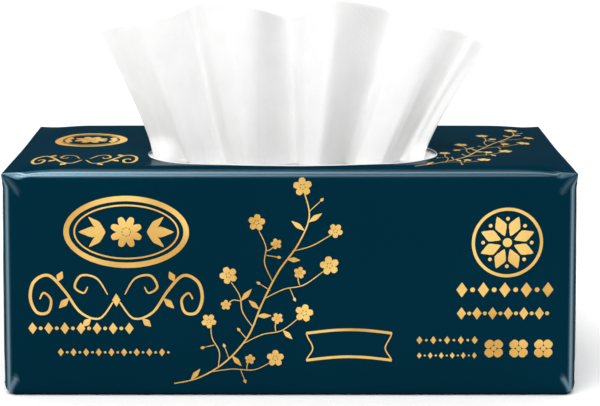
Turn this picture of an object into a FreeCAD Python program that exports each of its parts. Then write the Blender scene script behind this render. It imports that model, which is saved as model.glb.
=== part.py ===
import FreeCAD, Part

import math
import os

import Sketcher

# A soft pack of facial tissues: a film wrapper with an oval mouth, the stack of folded tissues inside,
# and the top tissue drawn up through the mouth. Millimetres, +Z up, the front of the pack at -Y, and the
# origin on the surface that it stands on, in the middle of the pack.

SIZES = {
    "sheet_side": 200.0,  # a tissue opened flat, square
    "stack_height": 78.0,  # all the folded tissues, lying on each other
    "stack_round": 3.0,  # the folded long edges of the stack
    "leaf_groove_depth": 0.6,  # a gap between bundles of leaves, seen on the stack's sides
    "leaf_groove_height": 0.4,
    "leaf_groove_pitch": 6.0,
    "film_wall": 0.4,
    "end_gap": 2.35,  # stack to film at the ends, at the top of the pack
    "side_gap": 1.6,  # stack to film along the front and the back
    "headroom": 5.4,  # stack to film under the top
    "base_flare": 1.4,  # each end stands out this much more at the base than at the top
    "edge_round": 3.5,  # the long and short edges of the top and of the base
    "corner_round": 4.0,  # the four upright edges
    "mouth_length": 107.4,
    "mouth_end_radius": 22.0,
    "mouth_side_radius": 180.0,
    "mouth_right": 1.2,  # centre of the mouth, to the right of the pack's middle
    "mouth_forward": 20.5,  # centre of the mouth, in front of the pack's middle
    "seal_lap": 12.0,  # the upper end flap laps over the lower one by this much
    "flap_setback": 1.0,  # an end flap leaves the round of the pack this far from its top or base
    "seam_offset": 6.0,  # the free edge of the lengthwise seam, behind the middle of the base
    "seam_groove_width": 0.8,
    "tissue_wall": 0.4,
    "mouth_gap": 3.8,  # the drawn tissue stays this far from each end of the mouth
    "tissue_rise": 55.0,  # middle of the drawn tissue's free edge, above the film
    "tissue_spread": 71.5,  # half the width that the free edge spans
    "tissue_tail": 62.0,  # the part of the drawn tissue that still lies on the stack
    "tail_end_inset": 1.0,  # the tail is this much shorter than the stack, at each end
}

# The folds of the drawn tissue from left to right. In the mouth, a fold's place is its share of the way
# from the middle to the mouth's end, and its depth the share of the way to the mouth's side there. At the
# free edge both are shares of half the spread. The last number is how far the free edge lies above or
# below its middle there, in millimetres.
FOLDS = [
    # place in the mouth, depth there, place at the free edge, depth there, height
    (-1.0, -0.1, -0.998, -0.06, -9.0),
    (-0.87, 0.32, -0.9, 0.05, -7.3),
    (-0.76, -0.27, -0.832, -0.05, -6.7),
    (-0.497, 0.42, -0.569, 0.11, -2.9),
    (-0.385, -0.36, -0.408, -0.11, 1.2),
    (-0.136, 0.46, -0.185, 0.11, -2.2),
    (0.13, -0.42, 0.116, -0.12, -1.6),
    (0.4, 0.46, 0.354, 0.12, 1.6),
    (0.6, -0.42, 0.68, -0.11, -7.2),
    (0.778, 0.42, 0.855, 0.06, -9.2),
    (0.99, -0.1, 0.99, -0.06, -15.0),
]
TISSUE_ROWS = 3  # outlines from the foot to the free edge
FOLD_STEPS = 4  # flat strips from one fold to the next
GATHER = 1.3  # the tissue stays narrow near the mouth and spreads above it
CREST = 0.35  # how round the folds are: 0 is a straight zigzag, 1 a full wave

doc = FreeCAD.newDocument("tissue_pack")


def make_sheet():
    """The sizes, as a spreadsheet with one alias a row."""
    sheet = doc.addObject("Spreadsheet::Sheet", "sizes")
    for row, (name, value) in enumerate(SIZES.items(), start=1):
        sheet.set(f"A{row}", name)
        sheet.set(f"B{row}", str(value))
        sheet.setAlias(f"B{row}", name)
    doc.recompute()
    return sheet


sizes = make_sheet()

# What several pieces share, as expressions of the sheet's sizes.
HALF_TOP = "(sizes.sheet_side / 2 + sizes.end_gap + sizes.film_wall)"
HALF_BASE = f"({HALF_TOP} + sizes.base_flare)"
HALF_DEPTH = "(sizes.sheet_side / 4 + sizes.side_gap + sizes.film_wall)"
HEIGHT = "(sizes.stack_height + sizes.headroom + 2 * sizes.film_wall)"
STACK_TOP = "(sizes.film_wall + sizes.stack_height)"
FLAP = f"(({HEIGHT} + sizes.seal_lap) / 2)"
X_AXIS, ORIGIN = -1, -1


def size(name):
    """A size as the sheet has it."""
    return float(sizes.get(name))


def half_depth():
    return size("sheet_side") / 4 + size("side_gap") + size("film_wall")


def half_base():
    return size("sheet_side") / 2 + size("end_gap") + size("film_wall") + size("base_flare")


def height():
    return size("stack_height") + size("headroom") + 2 * size("film_wall")


def bind(thing, **expressions):
    """Binds properties of a document object to expressions."""
    for name, expression in expressions.items():
        thing.setExpression(name, expression)
    return thing


def body(name):
    return doc.addObject("PartDesign::Body", name)


def sketch_on(owner, role, name, lift=None):
    """A sketch on one of a body's origin planes, lifted off it by an expression."""
    sketch = owner.newObject("Sketcher::SketchObject", name)
    plane = next(f for f in owner.Origin.OriginFeatures if f.Role == role)
    sketch.AttachmentSupport = [(plane, "")]
    sketch.MapMode = "FlatFace"
    if lift:
        sketch.setExpression("AttachmentOffset.Base.z", lift)
    return sketch


def constrain(sketch, expression, *constraint):
    """Adds a constraint that holds a size, and binds it to an expression."""
    value = float(sketch.evalExpression(expression))
    index = sketch.addConstraint(Sketcher.Constraint(*constraint, value))
    sketch.setExpression(f"Constraints[{index}]", expression)


def free_sketch(name):
    return doc.addObject("Sketcher::SketchObject", name)


def join_ends(sketch, first, count):
    """Closes count pieces of outline, each ending where the next one starts."""
    for k in range(count):
        after = first + (k + 1) % count
        sketch.addConstraint(Sketcher.Constraint("Coincident", first + k, 2, after, 1))


def front_outline(sketch, grow):
    """The pack seen from the front, standing on the sketch's own level: a little wider at the base than
    at the top."""
    reach, rise = half_base(), height()
    slope = size("base_flare")
    corners = [
        FreeCAD.Vector(x, z, 0)
        for x, z in [(-reach, 0), (reach, 0), (reach - slope, rise), (slope - reach, rise)]
    ]
    for k in range(4):
        sketch.addGeometry(Part.LineSegment(corners[k], corners[(k + 1) % 4]))
    join_ends(sketch, 0, 4)
    sketch.addConstraint(Sketcher.Constraint("PointOnObject", 0, 1, X_AXIS))
    sketch.addConstraint(Sketcher.Constraint("Horizontal", 0))
    sketch.addConstraint(Sketcher.Constraint("Horizontal", 2))
    constrain(sketch, f"{HALF_BASE} + {grow}", "DistanceX", 0, 1, ORIGIN, 1)
    constrain(sketch, f"{HALF_BASE} + {grow}", "DistanceX", ORIGIN, 1, 1, 1)
    constrain(sketch, f"{HALF_TOP} + {grow}", "DistanceX", ORIGIN, 1, 2, 1)
    constrain(sketch, f"{HALF_TOP} + {grow}", "DistanceX", 3, 1, ORIGIN, 1)
    constrain(sketch, f"{HEIGHT} + 2 * {grow}", "DistanceY", ORIGIN, 1, 2, 1)


def edges_where(feature, wanted):
    """Names of a feature's edges that a test accepts."""
    return [f"Edge{k}" for k, edge in enumerate(feature.Shape.Edges, start=1) if wanted(edge)]


def rounded(owner, name, base, wanted, radius):
    """A fillet on the edges that a test accepts."""
    doc.recompute()
    fillet = owner.newObject("PartDesign::Fillet", name)
    fillet.Base = (base, edges_where(base, wanted))
    return bind(fillet, Radius=radius)


def pack_form(name, walls):
    """The wrapped pack as a solid with soft edges, grown on all sides by a number of film walls."""
    grow = f"({walls} * sizes.film_wall)"
    owner = body(name)
    outline = sketch_on(owner, "XZ_Plane", f"{name}_outline")
    front_outline(outline, grow)
    block = owner.newObject("PartDesign::Pad", f"{name}_block")
    block.Profile = outline
    block.Midplane = True
    bind(block, Length=f"2 * ({HALF_DEPTH} + {grow})")
    rise = height()

    def upright(edge):
        return edge.BoundBox.ZLength > rise / 2

    def level(edge):
        return edge.BoundBox.ZLength < rise / 100

    corners = rounded(owner, f"{name}_corners", block, upright, f"sizes.corner_round + {grow}")
    rounded(owner, f"{name}_edges", corners, level, f"sizes.edge_round + {grow}")
    return bind(owner, **{"Placement.Base.z": f"-{grow}"})


def two_of(kind, name, base, tool):
    """A boolean of two objects."""
    result = doc.addObject(kind, name)
    result.Base = base
    result.Tool = tool
    return result


def flap_outline(name, wide, wide_z, narrow, narrow_z):
    """A trapezoid across the end of the pack, for a folded end flap: its halfwidths and heights."""
    sketch = free_sketch(name)
    sketch.Placement = FreeCAD.Placement(
        FreeCAD.Vector(), FreeCAD.Rotation(FreeCAD.Vector(1, 1, 1), 120)
    )
    guess = half_depth()
    points = [(-guess, 1), (guess, 1), (1, guess), (-1, guess)]
    corners = [FreeCAD.Vector(y, z, 0) for y, z in points]
    for k in range(4):
        sketch.addGeometry(Part.LineSegment(corners[k], corners[(k + 1) % 4]))
    join_ends(sketch, 0, 4)
    constrain(sketch, wide, "DistanceX", 0, 1, ORIGIN, 1)
    constrain(sketch, wide, "DistanceX", ORIGIN, 1, 1, 1)
    constrain(sketch, narrow, "DistanceX", ORIGIN, 1, 2, 1)
    constrain(sketch, narrow, "DistanceX", 3, 1, ORIGIN, 1)
    constrain(sketch, wide_z, "DistanceY", ORIGIN, 1, 0, 1)
    constrain(sketch, wide_z, "DistanceY", ORIGIN, 1, 1, 1)
    constrain(sketch, narrow_z, "DistanceY", ORIGIN, 1, 2, 1)
    constrain(sketch, narrow_z, "DistanceY", ORIGIN, 1, 3, 1)
    return sketch


def through_prism(name, sketch):
    """The sketch carried through the whole length of the pack, past both ends."""
    prism = doc.addObject("Part::Extrusion", name)
    prism.Base = sketch
    prism.DirMode = "Custom"
    prism.Dir = FreeCAD.Vector(1, 0, 0)
    prism.Solid = True
    prism.Symmetric = True
    return bind(prism, LengthFwd=f"2 * {HALF_BASE} + 20 * sizes.film_wall")


def mouth_outline():
    """The oval of the mouth: two end arcs and two flatter side arcs that meet them in line."""
    sketch = free_sketch("mouth_outline")
    half = size("mouth_length") / 2
    end, side = size("mouth_end_radius"), size("mouth_side_radius")
    turn = math.asin((half - end) / (side - end))
    drop = (side - end) * math.cos(turn)
    up, normal = math.pi / 2, FreeCAD.Vector(0, 0, 1)

    def arc(x, y, radius, first, last):
        circle = Part.Circle(FreeCAD.Vector(x, y, 0), normal, radius)
        sketch.addGeometry(Part.ArcOfCircle(circle, first, last))

    arc(0, -drop, side, up - turn, up + turn)
    arc(end - half, 0, end, up + turn, 3 * up - turn)
    arc(0, drop, side, 3 * up - turn, 3 * up + turn)
    arc(half - end, 0, end, -up + turn, up - turn)
    for k in range(4):
        sketch.addConstraint(Sketcher.Constraint("Tangent", k, 2, (k + 1) % 4, 1))
    for k in (1, 3):
        sketch.addConstraint(Sketcher.Constraint("PointOnObject", k, 3, X_AXIS))
    reach = "sizes.mouth_length / 2 - sizes.mouth_end_radius"
    constrain(sketch, reach, "DistanceX", 1, 3, ORIGIN, 1)
    constrain(sketch, reach, "DistanceX", ORIGIN, 1, 3, 3)
    constrain(sketch, "sizes.mouth_side_radius", "Radius", 0)
    constrain(sketch, "sizes.mouth_end_radius", "Radius", 1)
    sketch.addConstraint(Sketcher.Constraint("Equal", 0, 2))
    sketch.addConstraint(Sketcher.Constraint("Equal", 1, 3))
    sketch.setExpression("Placement.Base.x", "sizes.mouth_right")
    sketch.setExpression("Placement.Base.y", "-sizes.mouth_forward")
    sketch.setExpression("Placement.Base.z", STACK_TOP)
    return sketch


def mouth_cutter():
    """The oval, from the top of the stack up past the film."""
    cutter = doc.addObject("Part::Extrusion", "mouth_cutter")
    cutter.Base = mouth_outline()
    cutter.DirMode = "Custom"
    cutter.Dir = FreeCAD.Vector(0, 0, 1)
    cutter.Solid = True
    return bind(cutter, LengthFwd="2 * sizes.headroom + 2 * sizes.film_wall")


def seam_cutter():
    """A shallow groove under the base, where the film's long edge laps over and is sealed."""
    groove = doc.addObject("Part::Box", "seam_cutter")
    return bind(
        groove,
        **{
            "Length": f"2 * {HALF_BASE}",
            "Width": "sizes.seam_groove_width",
            "Height": "sizes.film_wall / 2",
            "Placement.Base.x": f"-{HALF_BASE}",
            "Placement.Base.y": "sizes.seam_offset",
        },
    )


def film_wrap():
    """The film: one sheet wrapped round the stack, folded shut like an envelope at both ends, with the
    mouth torn out of its top. Each end has a lower flap and an upper flap that laps over it."""
    form = pack_form("film_outside", 0)
    hollow = two_of("Part::Cut", "film_tube", form, pack_form("film_inside", -1))
    one_layer = pack_form("one_layer", 1)
    two_layers = pack_form("two_layers", 2)
    wide = f"({HALF_DEPTH} - sizes.flap_setback)"
    narrow = f"({HALF_DEPTH} - {FLAP})"
    start = "sizes.flap_setback"
    high = f"({HEIGHT} - sizes.flap_setback)"
    lap_top = f"({HALF_DEPTH} - {HEIGHT} + {FLAP})"
    lower = flap_outline("lower_flap_outline", wide, start, narrow, FLAP)
    upper = flap_outline("upper_flap_outline", wide, high, narrow, f"({HEIGHT} - {FLAP})")
    lap = flap_outline("lap_outline", lap_top, FLAP, narrow, f"({HEIGHT} - {FLAP})")
    layers = [
        two_of("Part::Common", "lower_flap", one_layer, through_prism("lower_prism", lower)),
        two_of("Part::Common", "upper_flap", one_layer, through_prism("upper_prism", upper)),
        two_of("Part::Common", "sealed_lap", two_layers, through_prism("lap_prism", lap)),
    ]
    skins = []
    for layer in layers:
        skins.append(two_of("Part::Cut", f"{layer.Name}_skin", layer, form))
    folded = doc.addObject("Part::MultiFuse", "folded_film")
    folded.Shapes = [hollow] + skins
    opened = two_of("Part::Cut", "film_with_mouth", folded, mouth_cutter())
    wrap = two_of("Part::Cut", "film_wrap", opened, seam_cutter())
    wrap.Label = "film_wrap"
    return wrap


def rectangle(sketch, half_x, half_y, first=0):
    """A rectangle about the sketch's origin, from its halfwidths."""
    corners = [FreeCAD.Vector(x, y, 0) for x, y in [(-1, -1), (1, -1), (1, 1), (-1, 1)]]
    for k in range(4):
        sketch.addGeometry(Part.LineSegment(corners[k] * (first + 1), corners[(k + 1) % 4] * (first + 1)))
    join_ends(sketch, first, 4)
    for k in range(4):
        kind = "Horizontal" if k % 2 == 0 else "Vertical"
        sketch.addConstraint(Sketcher.Constraint(kind, first + k))
    constrain(sketch, half_x, "DistanceX", first, 1, ORIGIN, 1)
    constrain(sketch, half_x, "DistanceX", ORIGIN, 1, first + 1, 1)
    constrain(sketch, half_y, "DistanceY", first, 1, ORIGIN, 1)
    constrain(sketch, half_y, "DistanceY", ORIGIN, 1, first + 2, 1)


def tissue_stack():
    """The folded tissues, each V-folded over half of the next, so the stack is one sheet long and half
    a sheet deep. Grooves round its sides mark the gaps between bundles of leaves."""
    owner = body("tissue_stack_body")
    outline = sketch_on(owner, "XY_Plane", "stack_outline", "sizes.film_wall")
    rectangle(outline, "sizes.sheet_side / 2", "sizes.sheet_side / 4")
    block = owner.newObject("PartDesign::Pad", "leaves")
    block.Profile = outline
    bind(block, Length="sizes.stack_height")
    reach = size("sheet_side") * 0.9

    def folded(edge):
        return edge.BoundBox.XLength > reach

    folds = rounded(owner, "folded_edges", block, folded, "sizes.stack_round")
    ring = sketch_on(owner, "XY_Plane", "leaf_groove_outline", "sizes.film_wall + sizes.leaf_groove_pitch")
    rectangle(ring, "sizes.sheet_side / 2 + 1", "sizes.sheet_side / 4 + 1")
    depth = "sizes.leaf_groove_depth"
    rectangle(ring, f"sizes.sheet_side / 2 - {depth}", f"sizes.sheet_side / 4 - {depth}", first=4)
    groove = owner.newObject("PartDesign::Pocket", "leaf_groove")
    groove.Profile = ring
    groove.Reversed = True
    bind(groove, Length="sizes.leaf_groove_height")
    doc.recompute()
    pattern = owner.newObject("PartDesign::LinearPattern", "leaf_grooves")
    pattern.Originals = [groove]
    pattern.Direction = (outline, ["N_Axis"])
    count = "floor(sizes.stack_height / sizes.leaf_groove_pitch - 0.5)"
    bind(pattern, Occurrences=count, Length=f"({count} - 1) * sizes.leaf_groove_pitch")
    owner.Tip = pattern
    owner.Label = "tissue_stack"
    return owner, folds


def along_folds(column):
    """The fold line at a column, between folds eased so that the folds have round crests."""
    index, part = divmod(column, FOLD_STEPS)
    if index == len(FOLDS) - 1:
        return FOLDS[-1]
    share = part / FOLD_STEPS
    wave = (1 - math.cos(math.pi * share)) / 2
    eased = share + CREST * (wave - share)
    before, after = FOLDS[index], FOLDS[index + 1]
    places = [a + (b - a) * share for a, b in zip(before, after)]
    depths = [a + (b - a) * eased for a, b in zip(before, after)]
    return (places[0], depths[1], places[2], depths[3], places[4])


def mouth_room(x):
    """Half the width of the mouth at a distance from its middle."""
    half, end, side = size("mouth_length") / 2, size("mouth_end_radius"), size("mouth_side_radius")
    turn = math.asin((half - end) / (side - end))
    if abs(x) > side * math.sin(turn):
        return math.sqrt(end * end - (abs(x) - half + end) ** 2)
    return math.sqrt(side * side - x * x) - (side - end) * math.cos(turn)


def tissue_line(level, foot_level, rim_level):
    """The middle of the drawn tissue's wall at one level."""
    points = []
    for column in range((len(FOLDS) - 1) * FOLD_STEPS + 1):
        place, depth, free_place, free_depth, lift = along_folds(column)
        foot_x = place * (size("mouth_length") / 2 - size("mouth_gap"))
        foot_y = depth * mouth_room(foot_x)
        free_x, free_y = free_place * size("tissue_spread"), free_depth * size("tissue_spread")
        share = (level - foot_level) / (rim_level + lift - foot_level)
        x = size("mouth_right") + foot_x + (free_x - foot_x) * share**GATHER
        y = foot_y + (free_y - foot_y) * share - size("mouth_forward")
        points.append(FreeCAD.Vector(x, y, level))
    return points


def wall_points(points, side):
    """The points moved level by half the wall, towards the front or the back, and mitred so that the
    wall keeps its thickness round each fold."""
    runs = [(after - before).normalize() for before, after in zip(points, points[1:])]
    moved = []
    for k, point in enumerate(points):
        before, after = runs[max(k - 1, 0)], runs[min(k, len(runs) - 1)]
        across = FreeCAD.Vector(-after.y, after.x, 0)
        mitre = (across + FreeCAD.Vector(-before.y, before.x, 0)).normalize()
        moved.append(point + mitre * (side * size("tissue_wall") / 2 / mitre.dot(across)))
    return moved


def tissue_section(points):
    """The closed outline of the drawn tissue at one level."""
    outline = wall_points(points, -1) + list(reversed(wall_points(points, 1)))
    return Part.makePolygon(outline + outline[:1])


def drawn_fan():
    """The part of the drawn tissue that stands: a gathered sheet lofted from its outlines at several
    levels, its free edge cut to the heights of its folds."""
    foot_level = size("film_wall") + size("stack_height")
    rim_level = height() + size("tissue_rise")
    highest = rim_level + max(fold[4] for fold in FOLDS)
    sections = []
    for row in range(TISSUE_ROWS):
        level = foot_level + (highest - foot_level) * row / (TISSUE_ROWS - 1)
        sections.append(tissue_section(tissue_line(level, foot_level, rim_level)))
    loft = Part.makeLoft(sections, True)
    edge = [
        FreeCAD.Vector(size("mouth_right") + fold[2] * size("tissue_spread"), 0, rim_level + fold[4])
        for fold in FOLDS
    ]
    out = FreeCAD.Vector(size("tissue_spread"), 0, 0)
    down = FreeCAD.Vector(0, 0, -2 * (rim_level - foot_level))
    outline = [edge[0] - out, *edge, edge[-1] + out]
    outline += [outline[-1] + down, outline[0] + down, outline[0]]
    deep = size("sheet_side") / 2
    face = Part.Face(Part.makePolygon(outline))
    face.translate(FreeCAD.Vector(0, -deep, 0))
    fan = doc.addObject("Part::Feature", "drawn_fan")
    fan.Shape = loft.common(face.extrude(FreeCAD.Vector(0, 2 * deep, 0)))
    return fan


def pulled_tissue():
    """The top tissue: its upper part drawn up through the mouth, the rest flat on the stack."""
    tail = doc.addObject("Part::Box", "tissue_tail")
    bind(
        tail,
        **{
            "Length": "sizes.sheet_side - 2 * sizes.tail_end_inset",
            "Width": "sizes.tissue_tail",
            "Height": "sizes.tissue_wall",
            "Placement.Base.x": "sizes.tail_end_inset - sizes.sheet_side / 2",
            "Placement.Base.y": "-sizes.mouth_forward",
            "Placement.Base.z": STACK_TOP,
        },
    )
    tissue = two_of("Part::Fuse", "pulled_tissue", drawn_fan(), tail)
    tissue.Label = "pulled_tissue"
    return tissue


def check(pieces):
    """Stops if anything in the document failed, or a piece has no valid solid."""
    for thing in doc.Objects:
        if {"Invalid", "Error"} & set(thing.State):
            raise RuntimeError(f"{thing.Label} failed: {thing.State}")
    for piece in pieces:
        if piece.Shape.isNull() or not piece.Shape.isValid() or not piece.Shape.Solids:
            raise RuntimeError(f"{piece.Label} has no valid solid")


def export(pieces):
    os.makedirs("parts", exist_ok=True)
    for piece in pieces:
        piece.Shape.exportStep(f"parts/{piece.Label}.step")
        box = piece.Shape.BoundBox
        print(piece.Label, len(piece.Shape.Solids), round(piece.Shape.Volume, 1), box)


wrap = film_wrap()
stack, _ = tissue_stack()
tissue = pulled_tissue()
doc.recompute()
PIECES = [wrap, stack, tissue]
check(PIECES)
export(PIECES)
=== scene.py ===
import math

import bmesh
import bpy
from bpy.props import FloatProperty, FloatVectorProperty, IntProperty, PointerProperty
from mathutils import Matrix, Vector, noise


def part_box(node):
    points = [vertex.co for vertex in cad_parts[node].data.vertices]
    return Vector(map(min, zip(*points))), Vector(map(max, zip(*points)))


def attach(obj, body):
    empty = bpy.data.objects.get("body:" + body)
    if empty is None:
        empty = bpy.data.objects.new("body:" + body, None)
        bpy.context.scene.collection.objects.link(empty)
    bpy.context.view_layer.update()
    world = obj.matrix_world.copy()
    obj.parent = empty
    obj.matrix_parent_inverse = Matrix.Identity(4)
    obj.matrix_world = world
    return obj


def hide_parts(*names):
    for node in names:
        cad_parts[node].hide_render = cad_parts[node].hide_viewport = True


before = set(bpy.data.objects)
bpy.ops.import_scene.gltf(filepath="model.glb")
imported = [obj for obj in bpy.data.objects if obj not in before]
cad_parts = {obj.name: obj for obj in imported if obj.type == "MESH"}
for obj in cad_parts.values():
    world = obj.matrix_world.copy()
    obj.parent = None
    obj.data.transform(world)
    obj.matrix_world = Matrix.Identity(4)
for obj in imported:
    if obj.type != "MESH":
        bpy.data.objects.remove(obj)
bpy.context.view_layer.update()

bl_info = {
    "name": "Soft pack of facial tissues",
    "version": (1, 0, 0),
    "blender": (4, 5, 0),
    "location": "3D View > Sidebar > Tissue Pack",
    "description": "Builds a film-wrapped soft pack of facial tissues with one tissue drawn up",
    "category": "Object",
}

FILM_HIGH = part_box("film_wrap")[1]
STACK_LOW, STACK_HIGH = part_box("tissue_stack")
MM = 0.001

# How finely the film's skin is drawn: rings of points up the pack, and points along each part of a ring.
BASE_RINGS = 8
WALL_RINGS = 40
EDGE_RINGS = 10
TOP_RINGS = 32
LONG_SIDE_POINTS = 104
SHORT_SIDE_POINTS = 60
CORNER_POINTS = 12

# The top edges are pinched to a small rounding at the corners, and open to their full one on the way
# along. By each corner, the long ones swell into a facet.
PINCHED_ROUND = 0.0006
LONG_EDGE_OPENS = 0.007
SHORT_EDGE_OPENS = 0.024
FACET_ROUND = 0.0018
FACET_FROM_CORNER = 0.0048
FACET_REACH = 0.0032

# The upright edges are pinched by a share of their rounding, from one depth under the top to another.
PINCH_SHARE = 0.86
PINCH_START = 0.006
PINCH_END = 0.0003
DROOP_REACH = 0.014

# The torn rim of the mouth is a small lip that stands up and in a little.
LIP_RISE = 0.00025
LIP_REACH = 0.0002

# The first ring of the base, as a share of the base's size.
MIDDLE_RING = 0.45
FLAP_OVERLAP = 0.012
SEAM_WIDTH = 0.012
INK_LIFT = 0.00006

# Lengths of the drawn tissue from its free edge down, and the rows of mesh in each part.
STANDING_LENGTH = 0.061
STANDING_ROWS = 46
LYING_LENGTH = 0.0665
LYING_ROWS = 26
UNDER_STEP = 0.0025
UNDER_ROWS = 28
TISSUE_WALL = 0.00012

# The tissue's foot lies this far over the stack, and at the mouth's ends this far under the film's top.
FOOT_LIFT = 0.0002
FOOT_UNDER_FILM = 0.0011

CAMERA_PLACE = (0, -0.6843, 0.2019)
CAMERA_TILT = 11.61
CAMERA_SHIFT = 0.0172

# The folds of the drawn tissue from left to right, in millimetres but for the second value: a fold's place
# in the mouth, its depth there as a share of the mouth's room, its place at the free edge, its depth
# there, and the free edge's height. Depths are negative to the front.
FOLDS = [
    (-49.3, -0.05, -70.4, 0.9, 129.9),
    (-44.5, -0.09, -65.1, -0.1, 132.2),
    (-38.9, -0.17, -59.4, -1.7, 132.8),
    (-35.4, -0.20, -54.4, -2.4, 133.8),
    (-29.6, -0.02, -43.2, -0.3, 136.6),
    (-23.6, 0.12, -37.0, 2.0, 139.4),
    (-19.4, -0.16, -31.0, -1.2, 141.6),
    (-15.0, -0.31, -20.3, -4.2, 142.1),
    (-10.6, -0.20, -10.8, -3.0, 138.4),
    (2.6, 0.30, -0.9, 6.2, 134.8),
    (5.4, -0.06, 6.0, 1.2, 137.2),
    (9.8, -0.31, 15.9, -4.2, 142.2),
    (13.2, -0.19, 22.4, -2.6, 141.3),
    (20.8, 0.30, 37.6, 5.6, 137.2),
    (23.6, -0.04, 43.0, 1.0, 135.0),
    (32.4, -0.19, 54.0, -2.1, 132.4),
    (36.0, -0.13, 59.4, -1.3, 131.0),
    (40.6, -0.01, 66.6, 0.5, 128.8),
    (44.0, -0.08, 69.8, -0.1, 126.5),
    (48.1, -0.18, 72.3, -0.1, 124.0),
]


class FilmSizes(bpy.types.PropertyGroup):
    """Sizes of the printed film wrapper"""

    half_top: FloatProperty(
        name="Half length at the top",
        description="Half the pack's length along its top edges",
        default=0.10275,
        unit="LENGTH",
        precision=4,
    )
    half_base: FloatProperty(
        name="Half length at the base",
        description="Half the pack's length along its base",
        default=0.10445,
        unit="LENGTH",
        precision=4,
    )
    half_depth: FloatProperty(
        name="Half depth",
        description="Half the pack's depth from front to back",
        default=FILM_HIGH[1],
        unit="LENGTH",
        precision=4,
    )
    height: FloatProperty(
        name="Height",
        description="Height of the film's top face along its edges",
        default=FILM_HIGH[2] - 0.0009,
        unit="LENGTH",
        precision=4,
    )
    crown: FloatProperty(
        name="Crown",
        description="How far the top face stands above its edges",
        default=0.0011,
        unit="LENGTH",
        precision=4,
    )
    droop: FloatProperty(
        name="Droop",
        description="How far the top's corners hang below its edges",
        default=0.0005,
        unit="LENGTH",
        precision=4,
    )
    long_round: FloatProperty(
        name="Long top edges",
        description="Rounding of the top's front and back edges",
        default=0.0036,
        unit="LENGTH",
        precision=4,
    )
    short_round: FloatProperty(
        name="Short top edges",
        description="Rounding of the top's end edges, in their middle",
        default=0.0026,
        unit="LENGTH",
        precision=4,
    )
    base_round: FloatProperty(
        name="Base edges",
        description="Rounding of the edges round the base",
        default=0.0034,
        unit="LENGTH",
        precision=4,
    )
    corner_low: FloatProperty(
        name="Upright edges, low",
        description="Rounding of the four upright edges at the base",
        default=0.0048,
        unit="LENGTH",
        precision=4,
    )
    corner_high: FloatProperty(
        name="Upright edges, high",
        description="Rounding of the four upright edges under the pinched top corners",
        default=0.0044,
        unit="LENGTH",
        precision=4,
    )
    bulge: FloatProperty(
        name="Bulge",
        description="How far the middle of a side stands out",
        default=0.0007,
        unit="LENGTH",
        precision=4,
    )
    wall: FloatProperty(
        name="Film",
        description="Thickness of the film",
        default=0.00012,
        unit="LENGTH",
        precision=5,
    )


class MouthSizes(bpy.types.PropertyGroup):
    """Sizes of the oval mouth and the tissue in it"""

    half_length: FloatProperty(
        name="Half length",
        description="Half the length of the mouth",
        default=0.0537,
        unit="LENGTH",
        precision=4,
    )
    end_radius: FloatProperty(
        name="End radius",
        description="Radius of the mouth's two ends",
        default=0.022,
        unit="LENGTH",
        precision=4,
    )
    side_radius: FloatProperty(
        name="Side radius",
        description="Radius of the mouth's two long sides",
        default=0.18,
        unit="LENGTH",
        precision=4,
    )
    right: FloatProperty(
        name="To the right",
        description="Centre of the mouth, to the right of the pack's middle",
        default=0.0012,
        unit="LENGTH",
        precision=4,
    )
    forward: FloatProperty(
        name="Forward",
        description="Centre of the mouth, in front of the pack's middle",
        default=0.0205,
        unit="LENGTH",
        precision=4,
    )
    sheet: FloatProperty(
        name="Tissue",
        description="Side of a tissue opened flat",
        default=STACK_HIGH[0] - STACK_LOW[0],
        unit="LENGTH",
        precision=4,
    )


class PackColours(bpy.types.PropertyGroup):
    """Colours of the pack"""

    film: FloatVectorProperty(
        name="Film",
        description="Deep teal of the printed film",
        default=(0.0007, 0.0235, 0.042),
        subtype="COLOR",
        min=0,
        max=1,
    )
    film_deep: FloatVectorProperty(
        name="Film, deep",
        description="Darker teal that drifts through the film's colour",
        default=(0.0005, 0.0205, 0.037),
        subtype="COLOR",
        min=0,
        max=1,
    )
    gold: FloatVectorProperty(
        name="Gold",
        description="Darker part of the gold ink",
        default=(0.6, 0.33, 0.065),
        subtype="COLOR",
        min=0,
        max=1,
    )
    gold_light: FloatVectorProperty(
        name="Gold, light",
        description="Lighter part of the gold ink",
        default=(0.86, 0.56, 0.16),
        subtype="COLOR",
        min=0,
        max=1,
    )
    tissue: FloatVectorProperty(
        name="Tissue",
        description="White of the tissues",
        default=(0.842, 0.842, 0.839),
        subtype="COLOR",
        min=0,
        max=1,
    )


class StageSettings(bpy.types.PropertyGroup):
    """Light and camera"""

    key: FloatProperty(
        name="Overhead light",
        description="Power of the large soft light over the pack",
        default=96.0,
        unit="POWER",
    )
    strip: FloatProperty(
        name="Strip light",
        description="Power of the long bright strip in the overhead light",
        default=22.0,
        unit="POWER",
    )
    fill: FloatProperty(
        name="Front light",
        description="Power of the soft light high over the front",
        default=86.0,
        unit="POWER",
    )
    back: FloatProperty(
        name="Back light",
        description="Power of the soft light behind the pack",
        default=30.0,
        unit="POWER",
    )
    surround: FloatProperty(
        name="Surround",
        description="Strength of the plain grey surroundings",
        default=0.04,
        min=0,
    )
    floor: FloatVectorProperty(
        name="Floor",
        description="Colour of the floor",
        default=(1.0, 1.0, 1.0),
        subtype="COLOR",
        min=0,
        max=1,
    )
    lens: FloatProperty(
        name="Lens",
        description="Focal length of the camera in millimetres",
        default=108.54,
        unit="CAMERA",
    )
    columns: IntProperty(
        name="Tissue detail",
        description="Strips of mesh between two folds of the drawn tissue",
        default=14,
        min=4,
    )


class PackSettings(bpy.types.PropertyGroup):
    """All settings of the tissue pack"""

    film: PointerProperty(type=FilmSizes)
    mouth: PointerProperty(type=MouthSizes)
    colours: PointerProperty(type=PackColours)
    stage: PointerProperty(type=StageSettings)


def settings():
    return bpy.context.scene.tissue_pack


def lerp(a, b, share):
    return a + (b - a) * share


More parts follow.
